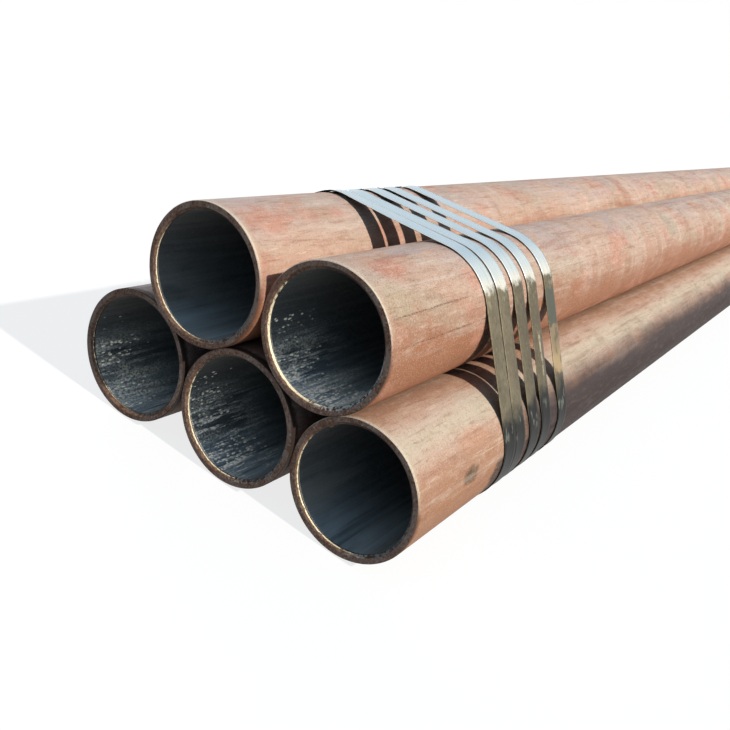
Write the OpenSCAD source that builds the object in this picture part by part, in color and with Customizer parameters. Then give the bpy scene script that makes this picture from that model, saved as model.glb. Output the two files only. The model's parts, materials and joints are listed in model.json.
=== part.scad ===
// Bundle of five steel pipes, three below and two lying in the hollows above,
// bound near each end by a group of steel straps that are closed with crimped seals.
// X runs across the bundle, Y along the pipes and Z up. The straps' undersides lie at Z = 0.

/* [Pipes] */
// Outside diameter of each pipe
pipe_d = 168.3; // [114.3:0.1:273]
// Wall of each pipe
pipe_wall = 10; // [5:0.1:16]
// Length of each pipe
pipe_l = 6000; // [3000:10:12000]
// Bevel that deburring leaves on the inner edge of each end
bore_bevel = 2; // [0.5:0.1:2.5]
// Bevel on the outer edge of each end
rim_bevel = 0.8; // [0.2:0.1:1.5]
// Gap between two pipes that lie side by side
pipe_gap = 0.3; // [0.2:0.05:0.6]
// How far the pipes' ends stand out of line, to each side
end_stagger = 7.5; // [0:0.5:20]

/* [Straps] */
// Width of each strap
strap_w = 32; // [19:1:38]
// Thickness of each strap
strap_t = 1; // [0.6:0.05:1.3]
// Gap between a strap and the pipes that it bends around
strap_clear = 0.2; // [0.1:0.05:0.4]
// From the pipes' end to the middle of the first strap
strap_first = 252; // [150:1:600]
// How far a strap's free end reaches past its seal
tail_l = 15; // [8:1:25]
// Length over which the overlapping end rises onto the layer below
tail_ramp = 10; // [4:1:15]

/* [Seals] */
// Length of each seal along its strap
seal_l = 57; // [40:1:64]
// Thickness of the sheet that a seal is folded from
seal_t = 0.9; // [0.6:0.05:1.2]
// Gap between a seal and the two layers of strap inside it
seal_clear = 0.2; // [0.1:0.05:0.3]
// Radius of the crimping jaws
jaw_r = 5; // [3:0.5:7]
// How deep the jaws bite into each edge of a seal
jaw_bite = 2.5; // [1:0.5:3]

/* [Hidden] */
$fn = 144;

rust = [0.74, 0.52, 0.42];
zinc = [0.74, 0.76, 0.75];
seal_grey = [0.62, 0.64, 0.64];

// Three pipes whose centres make an equal-sided triangle give the rise of the upper row
row_angle = 60;
pipe_r = pipe_d / 2;
bore_r = pipe_r - pipe_wall;
pitch = pipe_d + pipe_gap;
row_rise = pitch * sin(row_angle);

// A strap bends around the four outer pipes on these radii
inner_r = pipe_r + strap_clear;
outer_r = inner_r + strap_t;
bundle_w = 2 * (pitch + outer_r);
bundle_h = row_rise + 2 * outer_r;

// Each pipe's place across and up, as shares of the pitch and the rise, and its share of the stagger
bottom_left_shares = [-1, 0, 0];
bottom_middle_shares = [0, 0, 0.3];
bottom_right_shares = [1, 0, 1];
top_left_shares = [-0.5, 1, -1];
top_right_shares = [0.5, 1, 0.2];

// The corners of a strap's loop, anticlockwise, and the way that the run after each one faces
loop_shares = [bottom_left_shares, bottom_right_shares, top_right_shares, top_left_shares];
run_normals = [-90, 90 - row_angle, 90, 90 + row_angle];
left_run = 3;

// Each strap's place behind the first, its lean from foot to top and its swing from side to side,
// all as shares of the strap's width
strap_place_shares = [0, 1.19, 2.56, 3.93, 5.88];
strap_lean_shares = [0, 0.1, 0.16, 0.36, 0.24];
strap_swing_shares = [-0.28, -0.34, -0.28, -0.28, -0.28];

// Each seal's place along the loop's left run, which it shares with the strap's overlap
seal_place_shares = [0.52, 0.44, 0.55, 0.47, 0.5];
seal_lip_gap_share = 0.2;
seal_jaw_shares = [-0.22, 0.22];

// Room that a strap's loop has at each side before it is cut to width, and that a cut has to spare
loop_depth = 3 * strap_w;
overrun = 2 * seal_t;

function centre_x(shares) = shares[0] * pitch;
function centre_z(shares) = outer_r + shares[1] * row_rise;
function corner(i) = [centre_x(loop_shares[i]), centre_z(loop_shares[i])];
function before(i) = (i + len(run_normals) - 1) % len(run_normals);

function strap_y(i) = -pipe_l / 2 + strap_first + strap_place_shares[i] * strap_w;
function lean_slope(i) = strap_lean_shares[i] * strap_w / bundle_h;
function swing_slope(i) = strap_swing_shares[i] * strap_w / bundle_w;

function seal_run(i) = seal_place_shares[i] * pitch;
function seal_spot(i) = corner(left_run)
    + inner_r * [cos(run_normals[left_run]), sin(run_normals[left_run])]
    + seal_run(i) * [-sin(run_normals[left_run]), cos(run_normals[left_run])];
function seal_y(i) = strap_y(i)
    + swing_slope(i) * seal_spot(i)[0]
    + lean_slope(i) * (seal_spot(i)[1] - bundle_h / 2);
function seal_slope(i) = lean_slope(i) * cos(run_normals[left_run])
    - swing_slope(i) * sin(run_normals[left_run]);

// A tube with bevelled ends, turned about its own axis
module pipe(shares) {
    half_l = pipe_l / 2;
    translate([centre_x(shares), shares[2] * end_stagger, centre_z(shares)])
        rotate([-90, 0, 0])
            rotate_extrude()
                polygon([
                    [bore_r, -half_l + bore_bevel],
                    [bore_r + bore_bevel, -half_l],
                    [pipe_r - rim_bevel, -half_l],
                    [pipe_r, -half_l + rim_bevel],
                    [pipe_r, half_l - rim_bevel],
                    [pipe_r - rim_bevel, half_l],
                    [bore_r + bore_bevel, half_l],
                    [bore_r, half_l - bore_bevel]
                ]);
}

module pipe_bottom_left() {
    color(rust) pipe(bottom_left_shares);
}

module pipe_bottom_middle() {
    color(rust) pipe(bottom_middle_shares);
}

module pipe_bottom_right() {
    color(rust) pipe(bottom_right_shares);
}

module pipe_top_left() {
    color(rust) pipe(top_left_shares);
}

module pipe_top_right() {
    color(rust) pipe(top_right_shares);
}

// Stands a shape drawn flat upright across the pipes, with its depth centred
module stand_across(depth) {
    translate([0, depth / 2, 0])
        rotate([90, 0, 0])
            children();
}

// Puts a shape on a straight run of the loop: its X faces outwards and its Y follows the run
module on_run(i) {
    translate(corner(i))
        rotate(run_normals[i])
            translate([inner_r, 0, 0])
                children();
}

// The outline that a cord drawn tight around the four outer pipes would take at a given radius
module loop_outline(r) {
    for (i = [0 : len(loop_shares) - 1]) {
        translate(corner(i)) circle(r);
    }
    polygon([
        for (i = [0 : len(loop_shares) - 1], normal = [run_normals[before(i)], run_normals[i]])
            corner(i) + r * [cos(normal), sin(normal)]
    ]);
}

// The strap's free end, which lies pressed onto the first layer and rises out of it by a short ramp
module strap_tail(i) {
    reach = seal_l / 2 + tail_l;
    root = strap_t / 2;
    top = 2 * strap_t;
    on_run(left_run)
        translate([0, seal_run(i), 0])
            linear_extrude(loop_depth)
                polygon([[root, -reach], [top, -reach], [top, reach], [root, reach + tail_ramp]]);
}

// A strap drawn tight around the bundle: its whole loop, cut to the strap's width at its own slant
module strap(i) {
    color(zinc)
        translate([0, strap_y(i), 0])
            intersection() {
                stand_across(loop_depth)
                    union() {
                        linear_extrude(loop_depth)
                            difference() {
                                loop_outline(outer_r);
                                loop_outline(inner_r);
                            }
                        strap_tail(i);
                    }
                translate([0, 0, bundle_h / 2])
                    rotate([-atan(lean_slope(i)), 0, atan(swing_slope(i))])
                        cube([2 * bundle_w, strap_w, 2 * bundle_h], center = true);
            }
}

// A seal's folded section: a flat back, two sides and two lips that meet under the strap
module seal_section() {
    inside = [2 * (strap_t + seal_clear), strap_w + 2 * seal_clear];
    outside = inside + 2 * [seal_t, seal_t];
    difference() {
        translate([strap_t, 0]) square(outside, center = true);
        translate([strap_t, 0]) square(inside, center = true);
        translate([strap_t - outside[0] / 2, 0])
            square([2 * overrun, strap_w * seal_lip_gap_share], center = true);
    }
}

// A seal crimped around both layers of a strap, with the jaws' bites along its two edges
module seal(i) {
    half_w = strap_w / 2 + seal_clear + seal_t;
    cut_h = 2 * (2 * strap_t + 2 * seal_clear + 2 * seal_t + overrun);
    color(seal_grey)
        translate([0, seal_y(i), 0])
            stand_across(0)
                on_run(left_run)
                    translate([0, seal_run(i), 0])
                        rotate([-atan(seal_slope(i)), 0, 0])
                            difference() {
                                translate([0, seal_l / 2, 0])
                                    rotate([90, 0, 0])
                                        linear_extrude(seal_l)
                                            seal_section();
                                for (share = seal_jaw_shares, side = [-1, 1]) {
                                    translate([strap_t, share * seal_l, side * (half_w + jaw_r - jaw_bite)])
                                        rotate([0, 90, 0])
                                            cylinder(r = jaw_r, h = cut_h, center = true);
                                }
                            }
}

module strap_front(i) {
    strap(i);
}

module strap_rear(i) {
    mirror([0, 1, 0]) strap(i);
}

module seal_front(i) {
    seal(i);
}

module seal_rear(i) {
    mirror([0, 1, 0]) seal(i);
}

pipe_bottom_left();
pipe_bottom_middle();
pipe_bottom_right();
pipe_top_left();
pipe_top_right();
for (i = [0 : len(strap_place_shares) - 1]) {
    strap_front(i);
    strap_rear(i);
    seal_front(i);
    seal_rear(i);
}
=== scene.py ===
"""Five lightly rusted steel pipes, three below and two above, bound near each end by steel straps."""
import json
import math

import bpy
import numpy as np
from mathutils import Euler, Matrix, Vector


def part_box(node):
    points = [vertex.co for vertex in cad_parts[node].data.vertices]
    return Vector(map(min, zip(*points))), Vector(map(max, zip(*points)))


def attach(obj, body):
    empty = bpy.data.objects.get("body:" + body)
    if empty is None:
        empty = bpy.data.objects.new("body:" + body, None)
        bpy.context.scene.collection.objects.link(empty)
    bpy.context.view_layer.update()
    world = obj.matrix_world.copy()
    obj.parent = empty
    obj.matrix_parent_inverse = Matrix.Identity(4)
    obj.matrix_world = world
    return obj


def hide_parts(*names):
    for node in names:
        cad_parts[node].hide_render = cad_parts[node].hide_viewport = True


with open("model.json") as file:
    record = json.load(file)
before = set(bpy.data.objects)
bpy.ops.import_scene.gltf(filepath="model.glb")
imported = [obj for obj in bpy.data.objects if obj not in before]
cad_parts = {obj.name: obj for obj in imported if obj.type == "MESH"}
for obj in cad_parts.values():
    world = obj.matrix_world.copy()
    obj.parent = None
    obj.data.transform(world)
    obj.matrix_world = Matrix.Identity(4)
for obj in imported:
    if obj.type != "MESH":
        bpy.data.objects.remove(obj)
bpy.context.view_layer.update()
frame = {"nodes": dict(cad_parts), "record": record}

# Camera
# A hand-held camera a little to the right of the open ends and above them, tipped to its left.
# The image is square, so the lens is its focal length in pixels over the image's side.
IMAGE_SIDE_PX = 730
FOCAL_PX = 863.2
SENSOR_MM = 36.0
CAMERA_PLACE = (0.5060, -3.7247, 0.5804)
CAMERA_TURN_DEG = (65.583, -16.360, 33.994)
FARTHEST_SEEN = 200.0

camera_data = bpy.data.cameras.new("camera")
camera_data.sensor_width = SENSOR_MM
camera_data.lens = FOCAL_PX / IMAGE_SIDE_PX * SENSOR_MM
camera_data.clip_end = FARTHEST_SEEN
camera = bpy.data.objects.new("camera", camera_data)
camera.location = CAMERA_PLACE
camera.rotation_euler = Euler([math.radians(turn) for turn in CAMERA_TURN_DEG], "XYZ")
bpy.context.scene.collection.objects.link(camera)
bpy.context.scene.camera = camera
bpy.context.scene.view_settings.view_transform = "Standard"

# Floor and studio light
# A wide white floor that keeps the bundle's shadow, a key lamp from the upper right that throws the
# straps' shadows onto the pipes, a weak lamp from behind on the left, and an even pale room all round.
FLOOR_SIZE = 120.0
FLOOR_GREY = (0.24, 0.24, 0.24, 1.0)
FLOOR_GLOW = 0.8
KEY_STRENGTH = 3.4
KEY_SPREAD_DEG = 1.2
KEY_COLOUR = (1.0, 0.95, 0.88)
KEY_ELEVATION_DEG = 40.0
KEY_BEARING_DEG = -2.8
BACK_STRENGTH = 0.9
BACK_SPREAD_DEG = 25.0
BACK_COLOUR = (0.94, 0.97, 1.0)
BACK_ELEVATION_DEG = 14.0
BACK_BEARING_DEG = 150.0
ROOM_COLOUR = (0.4, 0.68, 1.0, 1.0)
ROOM_STRENGTH = 0.27
WHITE = (1.0, 1.0, 1.0, 1.0)


def put(tree, kind, sockets=None, **settings):
    """Adds a node, with its sockets wired to other nodes or set to plain values."""
    node = tree.nodes.new(kind)
    for name, value in settings.items():
        setattr(node, name, value)
    for key, value in (sockets or {}).items():
        if isinstance(value, bpy.types.NodeSocket):
            tree.links.new(value, node.inputs[key])
        else:
            node.inputs[key].default_value = value
    return node


def calc(tree, operation, *values):
    """The result of a maths operation on one, two or three values."""
    return put(tree, "ShaderNodeMath", dict(enumerate(values)), operation=operation).outputs[0]


def shown_rays(tree):
    """1 for the rays that show the white background: straight, mirrored or through glass."""
    path = put(tree, "ShaderNodeLightPath")
    mirrored = calc(tree, "MAXIMUM", path.outputs["Is Glossy Ray"], path.outputs["Is Transmission Ray"])
    return calc(tree, "MAXIMUM", path.outputs["Is Camera Ray"], mirrored)


def new_finish(name):
    """An empty material and its node tree."""
    material = bpy.data.materials.new(name)
    material.use_nodes = True
    material.node_tree.nodes.clear()
    return material, material.node_tree


def floor_finish():
    """White paper: a plain grey that glows to white where it is seen, and darkens in shadow."""
    material, tree = new_finish("floor_paper")
    paper = put(tree, "ShaderNodeBsdfDiffuse", {"Color": FLOOR_GREY})
    strength = calc(tree, "MULTIPLY", shown_rays(tree), FLOOR_GLOW)
    glow = put(tree, "ShaderNodeEmission", {"Strength": strength})
    both = put(tree, "ShaderNodeAddShader", {0: paper.outputs[0], 1: glow.outputs[0]})
    put(tree, "ShaderNodeOutputMaterial", {"Surface": both.outputs[0]})
    return material


def sun_lamp(name, strength, spread_deg, colour, elevation_deg, bearing_deg):
    """A far lamp. Its bearing is measured from +X towards +Y, the way that the pipes run from the front."""
    lamp_data = bpy.data.lights.new(name, "SUN")
    lamp_data.energy = strength
    lamp_data.angle = math.radians(spread_deg)
    lamp_data.color = colour
    lamp = bpy.data.objects.new(name, lamp_data)
    elevation = math.radians(elevation_deg)
    bearing = math.radians(bearing_deg)
    to_lamp = Vector((
        math.cos(elevation) * math.cos(bearing),
        math.cos(elevation) * math.sin(bearing),
        math.sin(elevation),
    ))
    lamp.rotation_euler = to_lamp.to_track_quat("Z", "Y").to_euler()
    bpy.context.scene.collection.objects.link(lamp)


half_floor = FLOOR_SIZE / 2
floor_mesh = bpy.data.meshes.new("floor")
floor_mesh.from_pydata(
    [(x * half_floor, y * half_floor, 0.0) for x, y in ((-1, -1), (1, -1), (1, 1), (-1, 1))],
    [],
    [(0, 1, 2, 3)],
)
floor_mesh.materials.append(floor_finish())
floor = bpy.data.objects.new("floor", floor_mesh)
bpy.context.scene.collection.objects.link(floor)

sun_lamp("key", KEY_STRENGTH, KEY_SPREAD_DEG, KEY_COLOUR, KEY_ELEVATION_DEG, KEY_BEARING_DEG)
sun_lamp("back", BACK_STRENGTH, BACK_SPREAD_DEG, BACK_COLOUR, BACK_ELEVATION_DEG, BACK_BEARING_DEG)

room = bpy.data.worlds.new("room")
room.use_nodes = True
room_tree = room.node_tree
room_tree.nodes.clear()
room_light = put(room_tree, "ShaderNodeBackground", {"Color": ROOM_COLOUR, "Strength": ROOM_STRENGTH})
room_white = put(room_tree, "ShaderNodeBackground", {"Color": WHITE, "Strength": 1.0})
room_shares = {0: shown_rays(room_tree), 1: room_light.outputs[0], 2: room_white.outputs[0]}
room_both = put(room_tree, "ShaderNodeMixShader", room_shares)
put(room_tree, "ShaderNodeOutputWorld", {"Surface": room_both.outputs[0]})
bpy.context.scene.world = room

# Pipes
# Hot-rolled steel tube, cut square with a saw and lightly deburred inside, left out until the mill
# scale outside has turned to a thin rust. The scale inside is still blue-black, and flakes in rows.
SIDES = 180
SKIN_RINGS = 24
BORE_RINGS = 24
FACE_RINGS = 4
RIM_BEVEL = (0.0005, 0.0012)
BORE_BEVEL = (0.0027, 0.0040)
CUT_TILT = 0.0005
BURR_HEIGHT = 0.003
BURR_REACH = 0.035
PIPE_SHARP_DEG = 25.0
SKIN, END, EDGE, BORE = range(4)
EVEN = (1.0, 1.0, 1.0)
# Turns around a pipe, from +X towards +Z: where a pale crest runs, where an end's inner edge has painted
# shade, where its pale lip is painted on the sunward side as a highlight and where it has a painted glint,
# and where its bore has a painted sky reflection. Crumbs flake a little before the lit turn.
CREST_TURN_DEG = 62.0
SHADED_TURN_DEG = 30.0
SUNWARD_TURN_DEG = 222.0
GLINT_TURN_DEG = 326.0
SKYLIT_TURN_DEG = 268.0
CRUMBS_BEFORE_DEG = 14.0
# How wide the painted sunlit highlight on a lip is at full strength, and how softly it ends
LIP_WIDTH = 0.0036
LIP_FADE = 0.0008
BORE_SHEEN = (0.85, 0.94, 1.0, 1.0)

# What sets one pipe apart from the next: how much its bore flakes and is filmed over, with painted light,
# and around which turn its bore is painted lit, how strongly its lip carries the painted sunlit highlight,
# how pink its rust is, whether its skin and end are painted as sunlit or in painted shade, how speckled it
# is, where rows of pits run along it (as turns), whether it has a pale crest with a painted shadow on the
# flank below, where a burr is left on its end, and patches of another colour, two of
# them painted shade by the first strap: turn, distance from its front end, reach around in degrees, reach
# along, strength and colour
PIPES = {
    "bottom_left": {"flakes": 0.7, "film_and_painted_light": 1.0, "lit": 243.0, "lip": 0.15, "pink": 0.3, "painted_sunlit": False},
    "bottom_middle": {"flakes": 1.0, "film_and_painted_light": 0.8, "lit": 240.0, "lip": 0.35, "pink": 0.3, "painted_sunlit": False},
    "bottom_right": {
        "flakes": 0.0, "film_and_painted_light": 0.3, "lit": 250.0, "lip": 0.35, "pink": 0.25, "speckle": 0.8,
        "crest": True, "burr": 131.0,
        "patches": (
            (16.0, 0.124, 8.5, 0.022, 1.0, (104, 80, 55)),
            # Painted shade by the first strap
            (-6.0, 0.212, 22.0, 0.024, 0.95, (44, 34, 30)),
            (43.0, 0.146, 10.0, 0.040, 0.4, (206, 146, 112)),
        ),
    },
    "top_left": {"flakes": 0.0, "film_and_painted_light": 0.2, "lit": 246.0, "lip": 0.3, "pink": 0.8, "speckle": 0.6},
    "top_right": {
        "flakes": 1.0, "film_and_painted_light": 1.0, "lit": 260.0, "lip": 0.6, "pink": 0.7, "rows": (38.5, 16.5),
        "patches": (
            (80.0, 0.062, 13.0, 0.034, 0.65, (208, 136, 110)),
            (95.0, 0.140, 8.0, 0.050, 0.60, (194, 182, 181)),
            (50.0, 0.030, 15.0, 0.032, 0.45, (186, 176, 146)),
            # Painted shade by the first strap
            (-4.0, 0.244, 28.0, 0.020, 0.75, (38, 31, 31)),
            (55.0, 1.175, 20.0, 0.050, 0.65, (180, 171, 150)),
        ),
    },
}

mounts = {mount["name"]: mount for mount in frame["record"]["mounts"]}


def own_coords(tree):
    """A place in the piece's own coordinates, whole and as X, Y and Z."""
    coords = put(tree, "ShaderNodeTexCoord").outputs["Object"]
    return coords, put(tree, "ShaderNodeSeparateXYZ", {0: coords}).outputs


def stretch(tree, coords, scale, offset=(0.0, 0.0, 0.0)):
    """Coordinates stretched along the axes, so that a pattern runs along or around the pipe."""
    return put(tree, "ShaderNodeMapping", {"Vector": coords, "Scale": scale, "Location": offset}).outputs[0]


def noise(tree, coords, scale, detail=4.0, roughness=0.55, distortion=0.0):
    """Cloudy noise from 0 to 1."""
    return put(tree, "ShaderNodeTexNoise", {
        "Vector": coords,
        "Scale": scale,
        "Detail": detail,
        "Roughness": roughness,
        "Distortion": distortion,
    }).outputs["Fac"]


def between(tree, value, low, high):
    """0 below low, 1 above high and a smooth rise between, or the other way round if low is above high."""
    sockets = {"Value": value, "From Min": low, "From Max": high, "To Min": 0.0, "To Max": 1.0}
    return put(tree, "ShaderNodeMapRange", sockets, interpolation_type="SMOOTHSTEP").outputs[0]


def times(tree, *shares):
    """The product of several shares."""
    product = shares[0]
    for share in shares[1:]:
        product = calc(tree, "MULTIPLY", product, share)
    return product


def tint(tree, share, under, over):
    """One colour laid over another by a share."""
    node = put(tree, "ShaderNodeMix", data_type="RGBA")
    for socket, value in ((node.inputs[0], share), (node.inputs[6], under), (node.inputs[7], over)):
        if isinstance(value, bpy.types.NodeSocket):
            tree.links.new(value, socket)
        else:
            socket.default_value = value
    return node.outputs[2]


def srgb(red, green, blue):
    """A colour as the eye reads it, from 0 to 255, as the linear colour that a shader takes."""
    def linear(level):
        level /= 255.0
        return level / 12.92 if level <= 0.04045 else ((level + 0.055) / 1.055) ** 2.4
    return (linear(red), linear(green), linear(blue), 1.0)


def coat(tree, colour, shade, *shares):
    """A colour with a shade, from 0 to 255, laid over it by the product of several shares."""
    return tint(tree, times(tree, *shares), colour, srgb(*shade))


def shades(tree, pattern, low, high, first, second):
    """Two shades, from 0 to 255: the first where a pattern is low and the second where it is high."""
    return tint(tree, between(tree, pattern, low, high), srgb(*first), srgb(*second))


def spread(tree, share, first, second):
    """A share from 0 to 1, spread evenly between two values."""
    return put(tree, "ShaderNodeMapRange", {"Value": share, "To Min": first, "To Max": second}).outputs[0]


def jitter(tree, value, pattern, amount):
    """A value that a pattern from 0 to 1 pushes up and down."""
    return calc(tree, "MULTIPLY_ADD", calc(tree, "SUBTRACT", pattern, 0.5), amount, value)


def finish_surface(tree, colour, roughness, height, depth, metallic=0.0, specular=0.5, sheen=WHITE):
    """Closes a material with its colour, its gloss and its relief."""
    bump = put(tree, "ShaderNodeBump", {"Height": height, "Strength": 1.0, "Distance": depth})
    surface = put(tree, "ShaderNodeBsdfPrincipled", {
        "Base Color": colour,
        "Roughness": roughness,
        "Normal": bump.outputs[0],
        "Metallic": metallic,
        "Specular IOR Level": specular,
        "Specular Tint": sheen,
    })
    put(tree, "ShaderNodeOutputMaterial", {"Surface": surface.outputs[0]})


def from_the_end(tree, along, length):
    """How far a place is from the nearer end of its pipe."""
    from_middle = calc(tree, "ABSOLUTE", calc(tree, "SUBTRACT", along, length / 2))
    return calc(tree, "SUBTRACT", length / 2, from_middle)


def pit_rows(tree, coords, turn, places_deg):
    """Rows of small dark pits along the pipe, that a scratched roll left."""
    beads = between(tree, noise(tree, coords, 480.0, 4.0, 0.7), 0.44, 0.62)
    breaks = between(tree, noise(tree, stretch(tree, coords, (0.2, 1.0, 0.2)), 11.0, 2.0), 0.34, 0.5)
    sway = noise(tree, stretch(tree, coords, (0.1, 1.0, 0.1)), 6.0, 6.0, 0.7)
    rows = 0.0
    for place in places_deg:
        line = calc(tree, "MULTIPLY_ADD", sway, 0.06, math.radians(place) - 0.03)
        off = calc(tree, "ABSOLUTE", calc(tree, "SUBTRACT", turn, line))
        rows = calc(tree, "MAXIMUM", rows, between(tree, off, 0.02, 0.002))
    return times(tree, rows, beads, breaks)


def skin_finish(name, seed, radius, length, pink, painted_sunlit, speckle, rows, crest, patches):
    """Thin rust over rolled steel: pale and pink above, orange below, with powdery pale and salmon patches.
    """
    material, tree = new_finish(name)
    coords, axes = own_coords(tree)
    turn = calc(tree, "ARCTAN2", axes["Z"], axes["X"])
    height = calc(tree, "DIVIDE", axes["Z"], radius)
    shift = (seed * 1.7, seed * 3.1, seed * 0.9)
    loose = stretch(tree, coords, (1.0, 0.5, 1.0), shift)
    close = stretch(tree, coords, (1.0, 0.75, 1.0), shift)
    clouds = noise(tree, loose, 8.0, 4.0, 0.55, 0.3)
    blotches = noise(tree, loose, 21.0, 5.0, 0.62, 0.5)
    dust_and_painted_light = noise(tree, stretch(tree, coords, (1.0, 0.4, 1.0), shift[::-1]), 15.0, 5.0, 0.6, 0.4)
    mottle = noise(tree, close, 95.0, 4.0, 0.65)
    grain = noise(tree, close, 560.0, 3.0, 0.7)
    bands = noise(tree, stretch(tree, coords, (1.0, 0.06, 1.0), shift), 60.0, 3.0, 0.55)
    streaks = noise(tree, stretch(tree, coords, (1.0, 0.16, 1.0), shift), 130.0, 4.0, 0.6)
    hairlines = noise(tree, stretch(tree, coords, (1.0, 0.05, 1.0), shift), 300.0, 4.0, 0.65)
    scrapes = noise(tree, stretch(tree, coords, (0.3, 1.0, 0.3), shift), 60.0, 5.0, 0.65, 0.6)
    rolls = noise(tree, stretch(tree, coords, (0.2, 1.0, 0.2), shift), 19.0, 4.0, 0.6, 0.3)
    near = from_the_end(tree, axes["Y"], length)
    far = between(tree, near, 0.3, 0.6)

    weathered = jitter(tree, height, clouds, 1.0)
    colour = shades(tree, weathered, 0.02, 0.86, (173, 117, 85), (208, 175, 153))
    lilac = times(tree, between(tree, weathered, 0.65, 1.1), between(tree, dust_and_painted_light, 0.38, 0.55))
    colour = coat(tree, colour, (198, 176, 172), lilac, 0.1 if crest else 0.8)
    colour = coat(tree, colour, (209, 150, 127), between(tree, blotches, 0.5, 0.66), pink)
    upper = between(tree, height, -0.3, 0.6)
    dust_and_reflection = times(tree, between(tree, dust_and_painted_light, 0.5, 0.66), upper, 0.5)
    colour = coat(tree, colour, (186, 172, 148), dust_and_reflection)
    if crest:
        off_crest = calc(tree, "ABSOLUTE", calc(tree, "SUBTRACT", turn, math.radians(CREST_TURN_DEG)))
        off_crest = jitter(tree, off_crest, clouds, 0.5)
        colour = coat(tree, colour, (178, 132, 100), between(tree, off_crest, 0.2, 0.6), 0.7)
        colour = coat(tree, colour, (212, 200, 174), between(tree, off_crest, 0.36, 0.02), 0.75)
    for place, along, reach_deg, reach_along, strength, shade in patches:
        off_turn = calc(tree, "SUBTRACT", turn, math.radians(place))
        off_turn = calc(tree, "DIVIDE", off_turn, math.radians(reach_deg))
        off_along = calc(tree, "DIVIDE", calc(tree, "SUBTRACT", axes["Y"], along), reach_along)
        off = calc(tree, "ADD", calc(tree, "POWER", off_turn, 2.0), calc(tree, "POWER", off_along, 2.0))
        off = jitter(tree, off, blotches, 2.4)
        off = jitter(tree, off, mottle, 1.2)
        colour = coat(tree, colour, shade, between(tree, off, 1.3, 0.3), strength)
    rolled = calc(tree, "MULTIPLY_ADD", far, 0.1 if crest else 0.26, 0.06)
    colour = coat(tree, colour, (160, 108, 86), between(tree, rolls, 0.48, 0.32), rolled)
    colour = coat(tree, colour, (226, 206, 190), between(tree, rolls, 0.52, 0.68), rolled, upper)
    if not painted_sunlit:
        # A pipe out of the sun gets painted shade: a cool grey over its skin
        colour = coat(tree, colour, (132, 118, 116), between(tree, clouds, 0.3, 0.56), 0.75)
    off_blotches = between(tree, blotches, 0.54, 0.42)
    for pattern, low, high, shade, shares in (
        (mottle, 0.52, 0.72, (226, 204, 186), (upper, 0.3)),
        (mottle, 0.48, 0.30, (152, 108, 86), (0.24 * speckle,)),
        (streaks, 0.54, 0.70, (228, 206, 184), (upper, 0.4)),
        (streaks, 0.46, 0.30, (156, 110, 84), (0.45,)),
        (bands, 0.54, 0.70, (222, 204, 188), (upper, 0.38)),
        (bands, 0.45, 0.30, (164, 120, 98), (0.4,)),
        (scrapes, 0.56, 0.70, (232, 216, 198), (off_blotches, upper, 0.2)),
        (hairlines, 0.45, 0.28, (138, 100, 82), (0.45,)),
        (hairlines, 0.64, 0.72, (240, 222, 196), (upper, 0.7)),
        (grain, 0.47, 0.28, (124, 90, 74), (0.75 * speckle,)),
        (grain, 0.53, 0.74, (236, 218, 200), (0.5 * speckle,)),
    ):
        colour = coat(tree, colour, shade, between(tree, pattern, low, high), *shares)
    relief = calc(tree, "MULTIPLY_ADD", mottle, 0.4, calc(tree, "MULTIPLY", grain, 0.6))
    if rows:
        pits = times(tree, pit_rows(tree, coords, turn, rows), spread(tree, far, 1.0, 0.4))
        colour = coat(tree, colour, (100, 72, 58), pits, 0.75)
        relief = calc(tree, "SUBTRACT", relief, calc(tree, "MULTIPLY", pits, 0.6))

    # A narrow band at each end, darker low down and paler higher up on sunlit pipes
    end = calc(tree, "MULTIPLY_ADD", mottle, 0.012, near)
    near_end_band = between(tree, end, 0.016, 0.006)
    if painted_sunlit:
        dark_end = times(tree, near_end_band, between(tree, height, 0.35, 0.1), 0.8)
        pale_end = times(tree, near_end_band, between(tree, height, 0.3, 0.7), 0.5)
        colour = coat(tree, colour, (104, 72, 56), dark_end)
        colour = coat(tree, colour, (220, 202, 176), pale_end)
        # Painted highlight: a bright line along the rim's outer edge
        painted_highlight_line = times(tree, between(tree, near, 0.0034, 0.0016), between(tree, height, 0.2, 0.65), 0.65)
        colour = coat(tree, colour, (252, 234, 208), painted_highlight_line, between(tree, grain, 0.36, 0.48))
    else:
        # Painted shade at the end of a pipe out of the sun
        colour = coat(tree, colour, (60, 48, 42), between(tree, end, 0.02, 0.012))
    # Painted shade on the underside, darkest below
    colour = coat(tree, colour, (62, 48, 42), between(tree, height, -0.5, -0.85), 0.85)
    # On the flank below the crest, behind the straps, a painted shadow: dark purple-grey skin with a soft
    # ragged edge
    if crest:
        ragged_height = jitter(tree, height, bands, 0.14)
        ragged_height = jitter(tree, ragged_height, blotches, 0.3)
        behind = calc(tree, "MULTIPLY_ADD", dust_and_painted_light, 0.1, axes["Y"])
        painted_light = times(tree, between(tree, ragged_height, 0.96, 0.46), between(tree, behind, 0.3, 0.36))
        painted_light = times(tree, painted_light, between(tree, axes["X"], 0.0, 0.03))
        film_and_painted_light = shades(tree, height, 0.1, 0.6, (30, 21, 20), (56, 49, 50))
        film_and_painted_light = coat(tree, film_and_painted_light, (78, 69, 70), between(tree, streaks, 0.5, 0.66), 0.5)
        film_and_painted_light = coat(tree, film_and_painted_light, (96, 88, 90), between(tree, grain, 0.5, 0.7), 0.35)
        colour = tint(tree, times(tree, painted_light, 0.96), colour, film_and_painted_light)
    roughness = spread(tree, bands, 0.72, 0.52)
    finish_surface(tree, colour, roughness, relief, 0.0006, specular=0.14)
    return material


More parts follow.
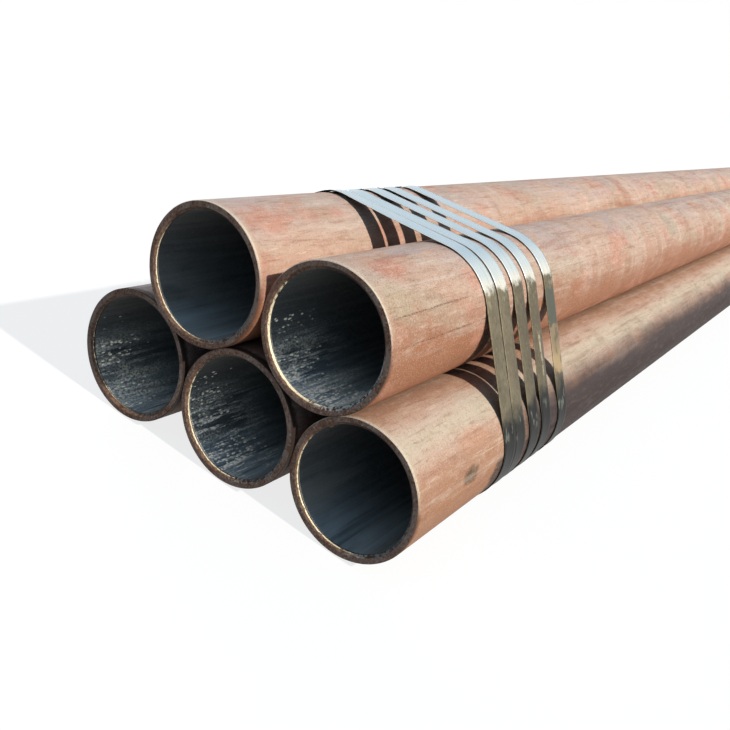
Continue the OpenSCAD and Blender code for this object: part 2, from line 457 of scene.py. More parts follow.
def end_finish(name, seed):
    """The sawn end: dark brown rust with the blade's fine marks and paler crumbs."""
    material, tree = new_finish(name)
    coords = put(tree, "ShaderNodeTexCoord").outputs["Object"]
    shift = (seed * 2.3, seed * 0.7, seed * 1.1)
    marks = noise(tree, stretch(tree, coords, (1.0, 1.0, 0.1), shift), 900.0, 2.0, 0.5)
    clouds = noise(tree, stretch(tree, coords, EVEN, shift), 38.0, 5.0, 0.65)
    crumbs = noise(tree, stretch(tree, coords, EVEN, shift), 330.0, 3.0, 0.7)
    colour = shades(tree, clouds, 0.36, 0.62, (130, 91, 71), (165, 138, 123))
    colour = coat(tree, colour, (192, 158, 138), between(tree, marks, 0.48, 0.66), 0.35)
    colour = coat(tree, colour, (70, 52, 44), between(tree, crumbs, 0.48, 0.32), 0.8)
    colour = coat(tree, colour, (222, 206, 186), between(tree, crumbs, 0.56, 0.7), 0.8)
    finish_surface(tree, colour, 0.7, crumbs, 0.0008, specular=0.15)
    return material


def towards(tree, axes, radius, turn_deg):
    """How far a place around a pipe is towards a given turn of it, from -1 to 1."""
    across = calc(tree, "MULTIPLY", axes["X"], math.cos(math.radians(turn_deg)) / radius)
    return calc(tree, "MULTIPLY_ADD", axes["Z"], math.sin(math.radians(turn_deg)) / radius, across)


def edge_finish(name, seed, bore, lip):
    """The deburred inner edge: brown, with painted shade at the upper right, a pale painted highlight on the
    sunward lower left and a painted glint at the lower right.
    """
    material, tree = new_finish(name)
    coords, axes = own_coords(tree)
    shift = (seed, seed * 0.6, seed * 1.9)
    flat = put(tree, "ShaderNodeVectorMath", {0: coords, 1: (1.0, 0.0, 1.0)}, operation="MULTIPLY")
    out = put(tree, "ShaderNodeVectorMath", {0: flat.outputs[0]}, operation="LENGTH").outputs["Value"]
    chips = noise(tree, stretch(tree, coords, EVEN, shift), 200.0, 5.0, 0.75)
    sunward = calc(tree, "MULTIPLY_ADD", chips, 2.4, towards(tree, axes, bore, SUNWARD_TURN_DEG))
    width = jitter(tree, out, chips, 0.004)
    lip_end = bore + LIP_WIDTH * lip
    inner = between(tree, width, lip_end, lip_end - LIP_FADE)
    colour = shades(tree, chips, 0.4, 0.6, (96, 68, 54), (146, 116, 96))
    # Painted shade on the upper right of the inner edge
    painted_shade = between(tree, towards(tree, axes, bore, SHADED_TURN_DEG), -0.1, 0.5)
    colour = coat(tree, colour, (36, 31, 31), painted_shade, 0.9)
    # Painted highlight: the pale lip lies only on the sunward side of the edge
    painted_light = times(tree, between(tree, sunward, 1.42, 1.9), inner)
    colour = coat(tree, colour, (250, 236, 200), painted_light)
    # Painted glint low on the right of the inner edge
    painted_glint = between(tree, towards(tree, axes, bore, GLINT_TURN_DEG), 0.6, 0.9)
    painted_glint = times(tree, painted_glint, between(tree, chips, 0.46, 0.54))
    glint_strength = min(1.0, 1.7 * lip ** 2 + 0.4 * lip)
    colour = coat(tree, colour, (232, 234, 224), painted_glint, glint_strength)
    finish_surface(tree, colour, 0.55, chips, 0.0008, times(tree, painted_light, 0.8), 0.2)
    return material


def bore_finish(name, seed, bore, length, flakes, film_and_painted_light, lit, lip):
    """Blue-black mill scale with pale crumbs flaking in rows, painted lighter near the ends on the lit side
    and with a painted sky reflection low down.
    """
    material, tree = new_finish(name)
    coords, axes = own_coords(tree)
    shift = (seed * 1.3, seed * 2.9, seed * 0.4)
    rows = noise(tree, stretch(tree, coords, (1.0, 0.04, 1.0), shift), 52.0, 3.0, 0.6)
    specks = noise(tree, stretch(tree, coords, (1.0, 0.5, 1.0), shift), 560.0, 4.0, 0.7)
    haze = noise(tree, stretch(tree, coords, (1.0, 0.25, 1.0), shift), 24.0, 4.0, 0.6, 0.4)
    lines = noise(tree, stretch(tree, coords, (1.0, 0.03, 1.0), shift), 160.0, 3.0, 0.6)
    deep = from_the_end(tree, axes["Y"], length)
    reach = jitter(tree, deep, rows, 0.16)
    # Painted light: the film is pale towards the lit turn and near the end, fading deeper in
    painted_lit_side = between(tree, towards(tree, axes, bore, lit), 0.35, 0.95)
    colour = shades(tree, lines, 0.36, 0.66, (114, 112, 108), (130, 129, 125))
    colour = coat(tree, colour, (166, 166, 160), between(tree, specks, 0.5, 0.68), 0.4)
    haze_and_painted_light = times(tree, between(tree, haze, 0.35, 0.56), painted_lit_side, between(tree, reach, 0.17, 0.03), film_and_painted_light)
    if flakes:
        haze_and_painted_light = times(tree, haze_and_painted_light, spread(tree, between(tree, specks, 0.4, 0.58), 0.2, 1.0))
    colour = coat(tree, colour, (246, 246, 234), haze_and_painted_light)
    # Painted reflection of the sky, low in the bore near the end
    bottom = between(tree, towards(tree, axes, bore, SKYLIT_TURN_DEG), 0.72, 0.98)
    skylit = times(tree, bottom, between(tree, lines, 0.15, 0.65), between(tree, deep, 0.2, 0.03), 0.6)
    colour = coat(tree, colour, (190, 212, 224), skylit)
    shine = calc(tree, "MAXIMUM", times(tree, haze_and_painted_light, 0.85), times(tree, skylit, 0.5))
    if flakes:
        scratches = noise(tree, stretch(tree, coords, (1.0, 0.06, 1.0), shift), 330.0, 3.0, 0.6)
        scored = times(tree, between(tree, scratches, 0.49, 0.59), painted_lit_side, between(tree, reach, 0.16, 0.04))
        scored = times(tree, scored, flakes, spread(tree, between(tree, specks, 0.42, 0.56), 0.35, 1.0))
        colour = coat(tree, colour, (248, 251, 250), scored)
        crumbs = {"Vector": stretch(tree, coords, (1.0, 0.4, 1.0), shift), "Scale": 360.0}
        crumbs = put(tree, "ShaderNodeTexVoronoi", crumbs).outputs
        in_rows = times(tree, between(tree, rows, 0.42, 0.6), between(tree, reach, 0.13, 0.03), flakes)
        left = between(tree, towards(tree, axes, bore, lit - CRUMBS_BEFORE_DEG), 0.25, 0.95)
        chance = put(tree, "ShaderNodeSeparateColor", {0: crumbs["Color"]}).outputs[0]
        chance = calc(tree, "MULTIPLY_ADD", times(tree, in_rows, left), 0.85, chance)
        crumb = jitter(tree, crumbs["Distance"], specks, 1.1)
        flaking = times(tree, between(tree, crumb, 0.46, 0.34), between(tree, chance, 1.0, 1.1))
        colour = coat(tree, colour, (252, 252, 244), flaking)
        shine = calc(tree, "MAXIMUM", shine, calc(tree, "MAXIMUM", flaking, scored))
    mouth = between(tree, deep, 0.006, 0.004)
    colour = coat(tree, colour, (74, 58, 48), mouth)
    depth = calc(tree, "MULTIPLY_ADD", specks, 0.002, deep)
    # The lip's painted sunlit highlight carries a little way into the bore
    sunward = calc(tree, "MULTIPLY_ADD", specks, 1.6, towards(tree, axes, bore, SUNWARD_TURN_DEG))
    painted_light = between(tree, depth, 0.002 + 0.004 * lip, 0.001 + 0.003 * lip)
    painted_light = times(tree, painted_light, between(tree, sunward, 1.1, 1.6))
    colour = coat(tree, colour, (236, 216, 174), painted_light)
    shine = calc(tree, "MULTIPLY", shine, calc(tree, "SUBTRACT", 1.0, mouth))
    relief = calc(tree, "MULTIPLY_ADD", specks, 0.7, calc(tree, "MULTIPLY", lines, 0.3))
    finish_surface(tree, colour, 0.85, relief, 0.0006, shine, 0.25, BORE_SHEEN)
    return material


def ragged(turns, seed, span):
    """A width that wanders around an edge between two bounds, as a file or a saw leaves it."""
    wave = sum(np.sin(k * turns + seed * (1.3 + k)) / k ** 0.7 for k in (1, 2, 3, 5, 8, 13, 21))
    wave = (wave - wave.min()) / (wave.max() - wave.min())
    return span[0] + (span[1] - span[0]) * wave


def pipe_rings(turns, radius, bore, length, seed, burr_deg):
    """The pipe's surface as rings of (distances from the front end, radii, finish of what follows)."""
    plain = np.ones_like(turns)
    rim_front = ragged(turns, seed, RIM_BEVEL)
    rim_rear = ragged(turns, seed + 4, RIM_BEVEL)
    bevel_front = ragged(turns, seed + 8, BORE_BEVEL)
    bevel_rear = ragged(turns, seed + 12, BORE_BEVEL)
    cut_front = CUT_TILT * (1 + np.cos(turns - seed)) / 2
    cut_rear = length - CUT_TILT * (1 + np.cos(turns + seed)) / 2
    burr = 0.0 * turns
    if burr_deg is not None:
        burr = BURR_HEIGHT * np.exp(-((turns - math.radians(burr_deg)) / BURR_REACH) ** 2)

    def stretch_of(count, ends_y, ends_r, finish, last):
        for share in np.linspace(0.0, 1.0, count):
            y = ends_y[0] + share * (ends_y[1] - ends_y[0])
            r = ends_r[0] + share * (ends_r[1] - ends_r[0])
            yield y, r, last if share == 1.0 else finish

    skin_y = (cut_front + rim_front, cut_rear - rim_rear)
    bore_y = (cut_rear - bevel_rear, cut_front + bevel_front)
    outside = radius * plain
    inside = bore * plain
    rings = list(stretch_of(SKIN_RINGS, skin_y, (outside, outside), SKIN, SKIN))
    face_r = (outside - rim_rear, inside + bevel_rear)
    rings += stretch_of(FACE_RINGS, (cut_rear, cut_rear), face_r, END, EDGE)
    rings += stretch_of(BORE_RINGS, bore_y, (inside, inside), BORE, EDGE)
    y, r, finish = rings[-1]
    rings[-1] = (y, r - burr, finish)
    face_r = (inside + bevel_front - burr / 2, outside - rim_front)
    rings += stretch_of(FACE_RINGS, (cut_front, cut_front), face_r, END, SKIN)
    return rings


def new_mesh(name, verts, faces, sharp_deg, materials, finishes=None):
    """A smooth mesh with sharp edges above an angle, and the finish of each face if it has several."""
    mesh = bpy.data.meshes.new(name)
    mesh.from_pydata(verts, [], faces)
    if finishes:
        mesh.polygons.foreach_set("material_index", finishes)
    mesh.shade_smooth()
    mesh.set_sharp_from_angle(angle=math.radians(sharp_deg))
    for material in materials:
        mesh.materials.append(material)
    return mesh


def pipe_piece(
    place, seed, flakes, film_and_painted_light, lit, lip, pink,
    painted_sunlit=True, speckle=1.0, rows=(), crest=False, patches=(), burr=None,
):
    """One pipe, turned about its own axis, with its front end at the object's own origin."""
    node = "pipe_" + place
    low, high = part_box(node)
    mount = mounts["bore_" + place]
    radius = (high[0] - low[0]) / 2
    bore = mount["dims"]["r_mm"] / 1000
    length = high[1] - low[1]
    turns = np.linspace(0.0, math.tau, SIDES, endpoint=False)
    rings = pipe_rings(turns, radius, bore, length, seed, burr)
    verts = []
    faces = []
    finishes = []
    for i, (along, out, finish) in enumerate(rings):
        verts += zip(out * np.cos(turns), along, out * np.sin(turns))
        ring = i * SIDES
        next_ring = (i + 1) % len(rings) * SIDES
        for k in range(SIDES):
            next_k = (k + 1) % SIDES
            faces.append((ring + k, ring + next_k, next_ring + next_k, next_ring + k))
            finishes.append(finish)
    materials = (
        skin_finish(place + "_skin", seed, radius, length, pink, painted_sunlit, speckle, rows, crest, patches),
        end_finish(place + "_end", seed),
        edge_finish(place + "_edge", seed, bore, lip),
        bore_finish(place + "_bore", seed, bore, length, flakes, film_and_painted_light, lit, lip),
    )
    mesh = new_mesh(node, verts, faces, PIPE_SHARP_DEG, materials, finishes)
    piece = bpy.data.objects.new("rusted_" + node, mesh)
    piece.location = (mount["pos_m"][0], low[1], mount["pos_m"][2])
    bpy.context.scene.collection.objects.link(piece)
    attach(piece, "root")
    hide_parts(node)


for order, (place, traits) in enumerate(PIPES.items()):
    pipe_piece(place, 1.0 + order, **traits)

# Straps
# Zinc-coated steel band with slit edges, drawn tight around all five pipes by a tensioner. Where it bends
# over a pipe its edges curl up a little, and its free end lies on the first layer on the left run.
STRAPS_PER_END = 5
STRAP_HALF_WIDTH = 0.016
STRAP_THICK = 0.001
STRAP_EDGE = 0.0004
STRAP_ARC_STEP_DEG = 3.0
STRAP_RUN_STEP = 0.003
STRAP_ACROSS = 9
STRAP_SHARP_DEG = 50.0
PIPE_HALF_LENGTH = 3.0
LAST_STRAP_FROM_END = (0.405, 0.412)
STRAP_FACES, STRAP_EDGES, STRAP_INSIDE = range(3)
# How high a strap's edges curl, how steeply, over which of the ways that it faces, and how the curl sets in:
# over degrees of a bend, and over metres of the run beside it
STRAP_CURL = 0.0004
CURL_POWER = 2.5
CURLED_DEG = (-60.0, 180.0)
CURL_IN_BEND_DEG = (-8.0, 14.0)
CURL_ON_RUN = (-0.020, 0.012)
# The slack in a strap, in millimetres. Each row is a place along the loop, then how far the strap stands off
# the pipes there, how far it has slid towards their end, how much further the second strap has slid and how
# much lower it lies, and how far the first strap's edge is tipped up. Places count from -1 to 1 up the right
# pipes as shares of a right angle, on to 2 at the other end of the top run, and to 3 at thirty degrees
# around the upper left pipe.
STRAP_SLACK = (
    (-0.67, 0.0, 0.0, 0.0, 0.0, 0.0),
    (-0.28, 0.0, 0.0, 3.2, 0.0, 0.0),
    (0.00, 0.4, 5.0, 3.9, 0.0, 0.0),
    (0.28, 0.7, 8.5, 3.9, 0.0, 0.0),
    (0.45, 0.7, 9.3, 3.0, 0.0, 0.0),
    (0.70, 0.7, 10.5, 1.2, 0.1, 0.0),
    (1.00, 1.8, 12.5, 0.8, 0.7, 0.0),
    (1.25, 3.2, 15.5, 0.8, 1.2, 0.0),
    (1.50, 3.6, 16.8, 1.2, 1.3, 0.6),
    (1.75, 3.2, 13.4, 2.0, 1.3, 1.6),
    (2.00, 2.4, 9.0, 2.6, 1.2, 2.6),
    (2.40, 1.4, 5.0, 2.0, 0.6, 2.4),
    (2.85, 0.0, 0.0, 0.0, 0.0, 0.0),
)
SLACK_END_DEG = 30.0
EASED_STATIONS = 6
TIPPED_STRAP = 1
SLID_STRAP = 2
# A crease that runs up the fourth strap on the right: where it starts, is full, fades and ends in height,
# how far behind the strap's middle and from the pipes' ends it lies, and how wide and high it stands
CREASED_STRAP = 4
CREASE_HEIGHTS = (0.160, 0.174, 0.214, 0.228)
CREASE_OFF = 0.004
CREASE_FROM_END = 0.371
CREASE_REACH = 0.005
CREASE_RISE = 0.0012
# The free end: how far it reaches past the seal, how long its ramp is, how early the ramp starts, and how
# much of the strap's thickness it takes up
TAIL_PAST_SEAL = 0.015
TAIL_RAMP = 0.010
TAIL_RAMP_LEAD = 0.002
TAIL_SINK = 0.9
TAIL_STEP = 0.0015
SEAL_LENGTH = 0.057
JAW_PLACES = (-0.22 * SEAL_LENGTH, 0.22 * SEAL_LENGTH)
JAW_RADIUS = 0.005
JAW_BITE = 0.0025


def middle(name):
    """A bore's centre across and up."""
    place = mounts["bore_" + name]["pos_m"]
    return np.array((place[0], place[2]))


# The pipes that a strap bends around, anticlockwise, with the way that it faces before and after each.
# After the last bend it runs down the left, where its free end and its seal lie.
RIGHT_FACING_DEG = 30.0
TOP_FACING_DEG = 90.0
LEFT_FACING_DEG = 150.0
top_left = middle("top_left")
top_right = middle("top_right")
BENDS = (
    (middle("bottom_left"), LEFT_FACING_DEG, 270.0),
    (middle("bottom_right"), -90.0, RIGHT_FACING_DEG),
    (top_right, RIGHT_FACING_DEG, TOP_FACING_DEG),
    (top_left, TOP_FACING_DEG, LEFT_FACING_DEG),
)


def outwards(facing_deg):
    """The way that a strap faces, as a step across and up."""
    return np.array((math.cos(math.radians(facing_deg)), math.sin(math.radians(facing_deg))))


strap_inside = mounts["bore_bottom_left"]["pos_m"][2] - STRAP_THICK
left_out = outwards(LEFT_FACING_DEG)
left_down = np.array((-left_out[1], left_out[0]))
left_start = top_left + strap_inside * left_out


def smooth(value, low, high):
    """0 below low, 1 above high and a smooth rise between."""
    share = np.clip((value - low) / (high - low), 0.0, 1.0)
    return share * share * (3 - 2 * share)


def jaw_bite(from_seal):
    """How far the crimping jaws have pushed an edge in, at a distance from the seal's middle."""
    bite = 0.0
    for place in JAW_PLACES:
        reach = JAW_RADIUS ** 2 - (from_seal - place) ** 2
        if reach > 0:
            bite = max(bite, math.sqrt(reach) - JAW_RADIUS + JAW_BITE)
    return bite


def strap_loop():
    """The stations of a strap's loop as (foot, way that it faces, share of curl, place on the left run)."""
    stations = []
    for i, (centre, start, stop) in enumerate(BENDS):
        next_centre = BENDS[(i + 1) % len(BENDS)][0]
        steps = round((stop - start) / STRAP_ARC_STEP_DEG)
        for facing in np.linspace(start, stop, steps + 1):
            from_run = min(facing - start, stop - facing)
            stations.append((centre, facing, float(smooth(from_run, *CURL_IN_BEND_DEG)), None))
        run = np.linalg.norm(next_centre - centre)
        steps = round(run / STRAP_RUN_STEP)
        for share in np.linspace(0.0, 1.0, steps + 1)[1:-1]:
            from_bend = min(share, 1 - share) * run
            curled = float(smooth(-from_bend, *CURL_ON_RUN))
            foot = centre + share * (next_centre - centre)
            stations.append((foot, stop, curled, share * run if centre is top_left else None))
    return stations


def band_section(half_width, lift, curl):
    """A band's section as (across, outwards) points: a strip with round slit edges, its sides curled up."""
    across = np.linspace(-1.0, 1.0, STRAP_ACROSS) * (half_width - STRAP_EDGE)
    rise = lift + curl * np.abs(across / half_width) ** CURL_POWER
    outer = list(zip(across, rise + STRAP_THICK))
    inner = list(zip(across[::-1], rise[::-1]))
    tip = lift + curl + STRAP_THICK / 2
    shoulder = half_width - STRAP_EDGE / 4
    rounding = STRAP_EDGE * 0.6
    right = [(shoulder, tip + rounding), (half_width, tip), (shoulder, tip - rounding)]
    left = [(-across, up) for across, up in right[::-1]]
    return outer + right + inner + left


BAND_POINTS = 2 * STRAP_ACROSS + 6
BAND_INSIDE_FACES = {STRAP_ACROSS + 3 + k for k in range(STRAP_ACROSS - 1)}
BAND_EDGE_FACES = {STRAP_ACROSS - 1 + k for k in range(4)} | {2 * STRAP_ACROSS + 2 + k for k in range(4)}


def ring_faces(ring, next_ring, count):
    """The faces between two rings of points, each given by its first point."""
    faces = []
    for k in range(count):
        next_k = (k + 1) % count
        faces.append((ring + k, next_ring + k, next_ring + next_k, ring + next_k))
    return faces


def band_skin(sections, closed):
    """Faces between sections of a band, with its finishes, and caps where it has ends."""
    faces = []
    finishes = []
    joints = len(sections) if closed else len(sections) - 1
    for i in range(joints):
        faces += ring_faces(i * BAND_POINTS, (i + 1) % len(sections) * BAND_POINTS, BAND_POINTS)
        for k in range(BAND_POINTS):
            inside = STRAP_INSIDE if k in BAND_INSIDE_FACES else STRAP_FACES
            finishes.append(STRAP_EDGES if k in BAND_EDGE_FACES else inside)
    if not closed:
        last = (len(sections) - 1) * BAND_POINTS
        faces.append(tuple(range(BAND_POINTS)))
        faces.append(tuple(last + k for k in range(BAND_POINTS))[::-1])
        finishes += [STRAP_EDGES, STRAP_EDGES]
    return faces, finishes


def within(tree, value, low, full, fading, high):
    """Two shares that together keep a value between soft bounds."""
    return between(tree, value, low, full), between(tree, value, high, fading)


def strap_finish():
    """Zinc with painted reflections: cream sun glare and pale sky blue on top, a khaki reflection of the
    ground with grit down the sides, and a painted shadow low down.
    """
    material, tree = new_finish("strap_zinc")
    coords, axes = own_coords(tree)
    height = axes["Z"]
    drips = noise(tree, coords, 75.0, 5.0, 0.65)
    clouds = noise(tree, coords, 28.0, 4.0, 0.6)
    grit = noise(tree, stretch(tree, coords, (0.6, 1.0, 0.6)), 270.0, 4.0, 0.7)
    brushed = noise(tree, stretch(tree, coords, (0.02, 1.0, 0.02)), 900.0, 2.0, 0.6)
    spots = noise(tree, stretch(tree, coords, (0.5, 1.0, 0.5)), 75.0, 3.0, 0.55)
    end = calc(tree, "SUBTRACT", PIPE_HALF_LENGTH, calc(tree, "ABSOLUTE", axes["Y"]))
    last = between(tree, end, *LAST_STRAP_FROM_END)

    ragged_height = jitter(tree, height, drips, 0.03)
    # Painted reflections: the sky and the sun's glare on top, the ground in khaki down the sides
    dust_and_reflection = between(tree, ragged_height, 0.2895, 0.279)
    # Painted shadow low on each strap, its edge reaching higher away from the pipes' ends and lower on the
    # last strap
    painted_shadow_line = calc(tree, "MULTIPLY_ADD", end, -0.095, calc(tree, "MULTIPLY_ADD", last, 0.013, height))
    painted_shadow_line = jitter(tree, painted_shadow_line, clouds, 0.04)
    painted_shadow = between(tree, painted_shadow_line, 0.133, 0.109)
    painted_reflection_on_top = shades(tree, height, 0.286, 0.303, (250, 247, 231), (219, 231, 231))
    painted_reflection_on_top = coat(tree, painted_reflection_on_top, (172, 199, 214), between(tree, height, 0.303, 0.318))
    dust_and_painted_light = shades(tree, clouds, 0.36, 0.62, (114, 105, 84), (130, 120, 97))
    dust_and_painted_light = coat(tree, dust_and_painted_light, (94, 85, 66), between(tree, end, 0.25, 0.34), 0.55)
    dust_and_painted_light = coat(tree, dust_and_painted_light, (76, 71, 57), between(tree, grit, 0.48, 0.32), 0.6)
    dust_and_painted_light = coat(tree, dust_and_painted_light, (160, 150, 124), between(tree, grit, 0.54, 0.7), 0.5)
    off_crease = calc(tree, "ABSOLUTE", calc(tree, "SUBTRACT", end, CREASE_FROM_END))
    # Painted highlight along the crease on the fourth strap
    painted_highlight_line = times(tree, between(tree, off_crease, 0.0036, 0.0012), between(tree, axes["X"], 0.0, 0.05))
    painted_highlight_line = times(tree, painted_highlight_line, *within(tree, ragged_height, 0.164, 0.172, 0.216, 0.226))
    dust_and_painted_light = coat(tree, dust_and_painted_light, (204, 194, 168), painted_highlight_line, between(tree, grit, 0.36, 0.52), 0.75)
    patchy = times(tree, between(tree, drips, 0.52, 0.64), between(tree, height, 0.255, 0.28), 0.55)
    dust_and_painted_light = coat(tree, dust_and_painted_light, (186, 180, 150), patchy)
    painted_shadow_colour = shades(tree, clouds, 0.38, 0.6, (28, 29, 27), (40, 41, 37))
    last_grey = times(tree, last, *within(tree, ragged_height, 0.22, 0.224, 0.262, 0.268))
    last_pale = times(tree, last, *within(tree, ragged_height, 0.16, 0.166, 0.219, 0.223))
    colour = tint(tree, dust_and_reflection, painted_reflection_on_top, dust_and_painted_light)
    colour = coat(tree, colour, (88, 94, 84), last_grey, 0.75)
    colour = tint(tree, painted_shadow, colour, painted_shadow_colour)
    sunlit = shades(tree, ragged_height, 0.205, 0.175, (150, 131, 103), (184, 161, 122))
    colour = tint(tree, times(tree, last_pale, between(tree, spots, 0.3, 0.5)), colour, sunlit)
    # Painted glints where the straps start to bend, low on the right
    painted_glints = times(tree, *within(tree, height, 0.112, 0.122, 0.134, 0.146))
    painted_glints = times(tree, between(tree, spots, 0.56, 0.65), painted_glints, between(tree, painted_shadow_line, 0.16, 0.12))
    colour = coat(tree, colour, (142, 146, 134), painted_glints, 0.55)
    colour = coat(tree, colour, (90, 92, 88), between(tree, brushed, 0.5, 0.3), 0.18)
    roughness = spread(tree, dust_and_reflection, 0.24, 0.5)
    finish_surface(tree, colour, roughness, brushed, 0.0001, metallic=1.0)
    return material


def strap_edge_finish():
    """The slit edge of a strap, dulled steel, with a painted highlight along its top and painted shadow low
    down.
    """
    material, tree = new_finish("strap_slit_edge")
    coords, axes = own_coords(tree)
    height = axes["Z"]
    nicks = noise(tree, coords, 160.0, 3.0, 0.6)
    painted_light = shades(tree, nicks, 0.4, 0.6, (82, 76, 61), (116, 108, 88))
    # Painted highlight along the top edges
    painted_light = coat(tree, painted_light, (222, 227, 225), between(tree, height, 0.283, 0.29))
    # Painted shadow low down
    colour = tint(tree, between(tree, height, 0.17, 0.12), painted_light, srgb(74, 76, 70))
    finish_surface(tree, colour, 0.45, nicks, 0.0002, metallic=1.0)
    return material


def strap_inside_finish():
    """The side of a strap that faces the pipes, dark with oil and powdered rust."""
    material, tree = new_finish("strap_inside")
    coords = put(tree, "ShaderNodeTexCoord").outputs["Object"]
    stains = noise(tree, coords, 60.0, 4.0, 0.6)
    colour = shades(tree, stains, 0.4, 0.6, (58, 52, 48), (88, 80, 72))
    finish_surface(tree, colour, 0.75, stains, 0.0002, specular=0.2)
    return material


strap_materials = (strap_finish(), strap_edge_finish(), strap_inside_finish())
strap_stations = strap_loop()


def strap_plane(node):
    """The slant of a strap's middle plane: its place along the pipes as a sum over across and up."""
    mesh = frame["nodes"][node].data
    points = np.empty(3 * len(mesh.vertices))
    mesh.vertices.foreach_get("co", points)
    points = points.reshape(-1, 3)
    sums = np.column_stack((points[:, 0], points[:, 2], np.ones(len(points))))
    return np.linalg.lstsq(sums, points[:, 1], rcond=None)[0]


def slack_around(column):
    """One column of the slack at every station of the loop, eased from row to row."""
    places = []
    for foot, facing, *_ in strap_stations:
        if facing == TOP_FACING_DEG:
            places.append(1.5 - foot[0] / top_right[0] / 2)
        elif facing < TOP_FACING_DEG:
            places.append(facing / TOP_FACING_DEG)
        else:
            places.append(min(3.0, 2 + (facing - TOP_FACING_DEG) / SLACK_END_DEG))
    rows = np.array(STRAP_SLACK)
    slack = np.interp(places, rows[:, 0], rows[:, column]) / 1000
    ease = np.hanning(2 * EASED_STATIONS + 3)[1:-1]
    round_and_round = np.concatenate((slack[-EASED_STATIONS:], slack, slack[:EASED_STATIONS]))
    return np.convolve(round_and_round, ease / ease.sum(), "valid")


stand_off, slid, second_slid, second_sunk, first_tipped = (slack_around(column) for column in range(1, 6))


def crease_rise(foot, facing):
    """How far the crease stands up from its strap at a station of the loop."""
    if facing >= TOP_FACING_DEG:
        return 0.0
    height = foot[1] + strap_inside * math.sin(math.radians(facing))
    low, full, fading, high = CREASE_HEIGHTS
    return CREASE_RISE * float(smooth(height, low, full) * (1 - smooth(height, fading, high)))


def strap_piece(node, number, towards_end):
    """One strap: its whole loop, and the free end that overlaps it under the seal.

    The way towards the nearer pipe ends is -1 in the front group and 1 in the rear group.
    """
    seal_low, seal_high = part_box(node.replace("strap", "seal"))
    seal_middle = np.array((seal_low[0] + seal_high[0], seal_low[2] + seal_high[2])) / 2
    seal_place = float((seal_middle - left_start) @ left_down)
    plane = strap_plane(node)
    verts = []

    def lay(section, foot, facing, off, drift):
        out = outwards(facing)
        for across, up in section:
            x, z = foot + (strap_inside + off + up) * out
            verts.append((x, plane @ (x, z, 1.0) + drift + across, z))

    sections = []
    for i, (foot, facing, curled, on_left) in enumerate(strap_stations):
        curl = STRAP_CURL * curled if CURLED_DEG[0] < facing < CURLED_DEG[1] else 0.0
        pinch = 0.0 if on_left is None else jaw_bite(on_left - seal_place)
        drift = towards_end * (slid[i] + (second_slid[i] if number == SLID_STRAP else 0.0))
        tip = first_tipped[i] if number == TIPPED_STRAP else 0.0
        crease = crease_rise(foot, facing) if number == CREASED_STRAP else 0.0
        section = []
        for across, up in band_section(STRAP_HALF_WIDTH - pinch, 0.0, curl):
            up += tip * (1 + towards_end * across / STRAP_HALF_WIDTH) / 2
            up += crease * max(0.0, 1 - abs(across + towards_end * CREASE_OFF) / CREASE_REACH)
            section.append((across, up))
        sections.append(section)
        sunk = second_sunk[i] if number == SLID_STRAP else 0.0
        lay(section, foot, facing, stand_off[i] - sunk, drift)
    faces, finishes = band_skin(sections, True)
    start = len(verts)
    sections = []
    reach = SEAL_LENGTH / 2 + TAIL_PAST_SEAL
    for place in np.arange(-reach, reach + TAIL_RAMP, TAIL_STEP):
        ramp = float(smooth(place, reach - TAIL_RAMP_LEAD, reach + TAIL_RAMP))
        lift = STRAP_THICK * (1 - ramp * TAIL_SINK)
        section = band_section(STRAP_HALF_WIDTH - jaw_bite(place), lift, 0.0)
        sections.append(section)
        lay(section, top_left + (seal_place + place) * left_down, LEFT_FACING_DEG, 0.0, 0.0)
    tail_faces, tail_finishes = band_skin(sections, False)
    faces += [tuple(start + k for k in face) for face in tail_faces]
    finishes += tail_finishes

    mesh = new_mesh(node, verts, faces, STRAP_SHARP_DEG, strap_materials, finishes)
    piece = bpy.data.objects.new("zinc_" + node, mesh)
    bpy.context.scene.collection.objects.link(piece)
    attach(piece, "root")
    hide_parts(node)


for number in range(1, STRAPS_PER_END + 1):
    strap_piece("strap_front_%d" % number, number, -1.0)
    strap_piece("strap_rear_%d" % number, number, 1.0)

# Seals
# Short sleeves of thinner zinc-coated sheet, folded around both layers of a strap so that their lips meet
# under it, and notched along both edges by the jaws of a hand crimper.
SEAL_STEP = 0.001
SEAL_THICK = 0.0009
SEAL_CLEAR = 0.0002
SEAL_LIP_GAP = 0.0032
SEAL_BEND = 0.001
SEAL_BEND_POINTS = 5
SEAL_SHARP_DEG = 40.0
# Between which distances from a seal's middle line the jaws' push sets in
JAW_PUSH = (0.009, 0.0155)


def seal_finish():
    """Zinc-coated sheet, duller than the straps and brushed along its length."""
    material, tree = new_finish("seal_zinc")
    coords = put(tree, "ShaderNodeTexCoord").outputs["Object"]
    clouds = noise(tree, coords, 30.0, 4.0, 0.6)
    grain = noise(tree, stretch(tree, coords, (1.0, 12.0, 1.0)), 120.0, 3.0, 0.6)
    colour = shades(tree, clouds, 0.35, 0.65, (138, 143, 142), (176, 180, 178))
    colour = coat(tree, colour, (122, 116, 98), between(tree, clouds, 0.46, 0.62), 0.45)
    colour = coat(tree, colour, (104, 104, 98), between(tree, grain, 0.45, 0.3), 0.4)
    roughness = spread(tree, grain, 0.28, 0.46)
    finish_surface(tree, colour, roughness, grain, 0.0001, metallic=1.0)
    return material


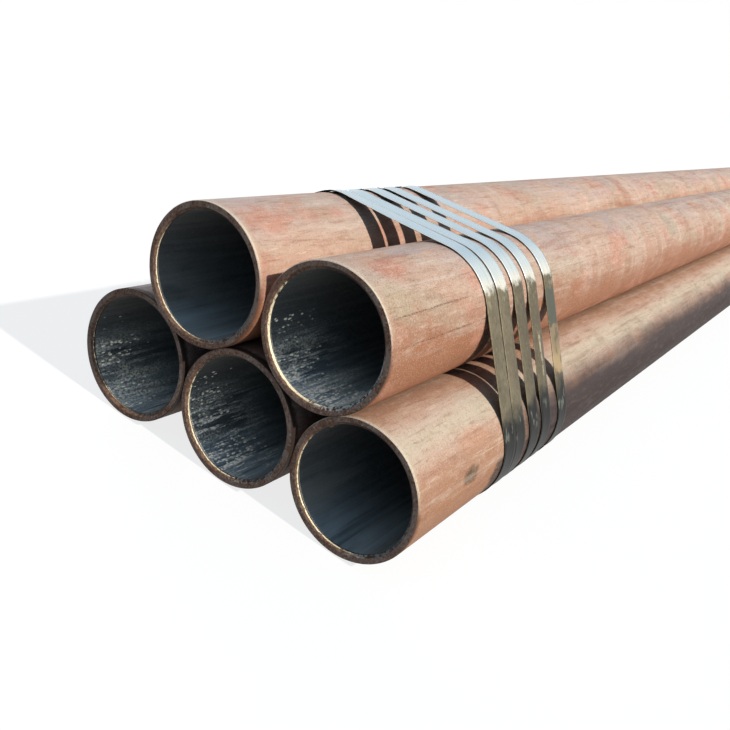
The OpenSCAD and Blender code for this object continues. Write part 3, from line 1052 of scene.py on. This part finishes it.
def seal_path(half_width, back, front, bend):
    """Half of a folded section and its mirror, as (across, outwards) points from one lip to the other."""
    half = [(SEAL_LIP_GAP, back), (half_width * 0.5, back)]
    for start, centre_up in ((-90.0, back + bend), (0.0, front - bend)):
        for turn in np.linspace(start, start + 90.0, SEAL_BEND_POINTS):
            swing = math.radians(turn)
            half.append((half_width - bend + bend * math.cos(swing), centre_up + bend * math.sin(swing)))
    half += [(half_width * 0.6, front), (half_width * 0.25, front)]
    return half + [(-across, up) for across, up in half[::-1]]


def seal_piece(node, strap_node, zinc):
    """One seal, lying on the strap's left run with its jaw notches."""
    low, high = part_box(node)
    centre = np.array((low[0] + high[0], low[2] + high[2])) / 2
    place = float((centre - left_start) @ left_down)
    plane = strap_plane(strap_node)
    inside = STRAP_HALF_WIDTH + SEAL_CLEAR
    layers = 2 * STRAP_THICK + SEAL_CLEAR
    outer = seal_path(inside + SEAL_THICK, -SEAL_CLEAR - SEAL_THICK, layers + SEAL_THICK, SEAL_BEND)
    inner = seal_path(inside, -SEAL_CLEAR, layers, SEAL_BEND / 4)
    section = outer + inner[::-1]
    count = len(section)
    verts = []
    faces = []
    steps = np.arange(-SEAL_LENGTH / 2, SEAL_LENGTH / 2 + SEAL_STEP / 2, SEAL_STEP)
    for i, along in enumerate(steps):
        x, z = left_start + (place + along) * left_down
        middle_y = plane @ (x, z, 1.0)
        bite = jaw_bite(along)
        for across, up in section:
            push = bite * float(smooth(abs(across), *JAW_PUSH))
            shift_x, shift_z = up * left_out
            verts.append((x + shift_x, middle_y + across - math.copysign(push, across), z + shift_z))
        if i:
            faces += ring_faces((i - 1) * count, i * count, count)
    end = (len(steps) - 1) * count
    for k in range(len(outer) - 1):
        cap = (k, k + 1, count - 2 - k, count - 1 - k)
        faces.append(cap)
        faces.append(tuple(end + corner for corner in cap[::-1]))
    mesh = new_mesh(node, verts, faces, SEAL_SHARP_DEG, (zinc,))
    piece = bpy.data.objects.new("crimped_" + node, mesh)
    bpy.context.scene.collection.objects.link(piece)
    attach(piece, "root")
    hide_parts(node)


seal_zinc = seal_finish()
for group in ("front", "rear"):
    for number in range(1, STRAPS_PER_END + 1):
        ending = "_%s_%d" % (group, number)
        seal_piece("seal" + ending, "strap" + ending, seal_zinc)
